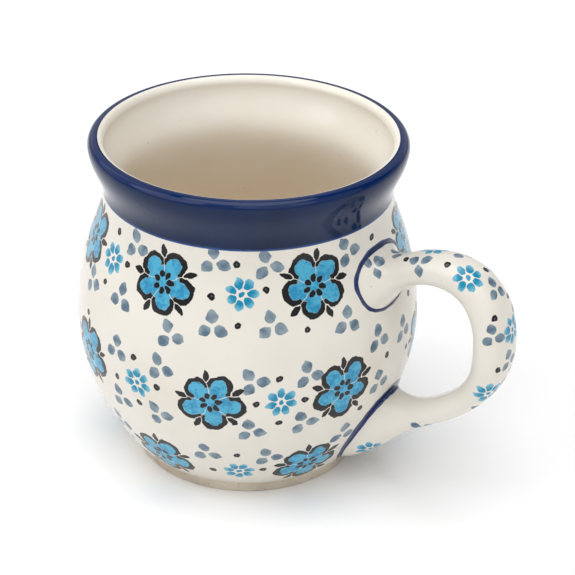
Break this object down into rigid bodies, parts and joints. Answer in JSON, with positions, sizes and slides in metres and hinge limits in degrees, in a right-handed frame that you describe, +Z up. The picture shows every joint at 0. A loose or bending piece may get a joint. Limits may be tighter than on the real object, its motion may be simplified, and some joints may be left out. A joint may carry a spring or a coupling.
{
  "type": "stoneware mug",
  "caption": "Round-bellied stoneware mug with a flared cobalt rim band, stamped blue flowers and an applied loop handle.",
  "frame": {"origin": "centre of the foot ring's resting plane, on the pot's own axis", "axes": "+Z up along the pot's axis, +X from the axis towards the handle"},
  "size_m": [0.1223, 0.0902, 0.09],
  "materials": {
    "bare_stoneware": "matt unglazed fired clay",
    "clear_glaze": "glossy clear glaze over ivory clay with stamped blue decoration",
    "liner": "glossy clear glaze over ivory clay",
    "cobalt_glaze": "glossy deep cobalt",
    "cobalt_line": "brushed cobalt under clear glaze",
    "slip": "fired joining slip"
  },
  "bodies": {
    "root": {"body": "bare_stoneware", "outer_glaze": "clear_glaze", "rim_band": "cobalt_glaze", "liner_glaze": "liner", "base_glaze": "liner", "handle_core": "bare_stoneware", "handle_glaze": "clear_glaze", "upper_slip_joint": "slip", "lower_slip_joint": "slip", "upper_joint_line": "cobalt_line", "lower_joint_line": "cobalt_line"}
  },
  "joints": []
}
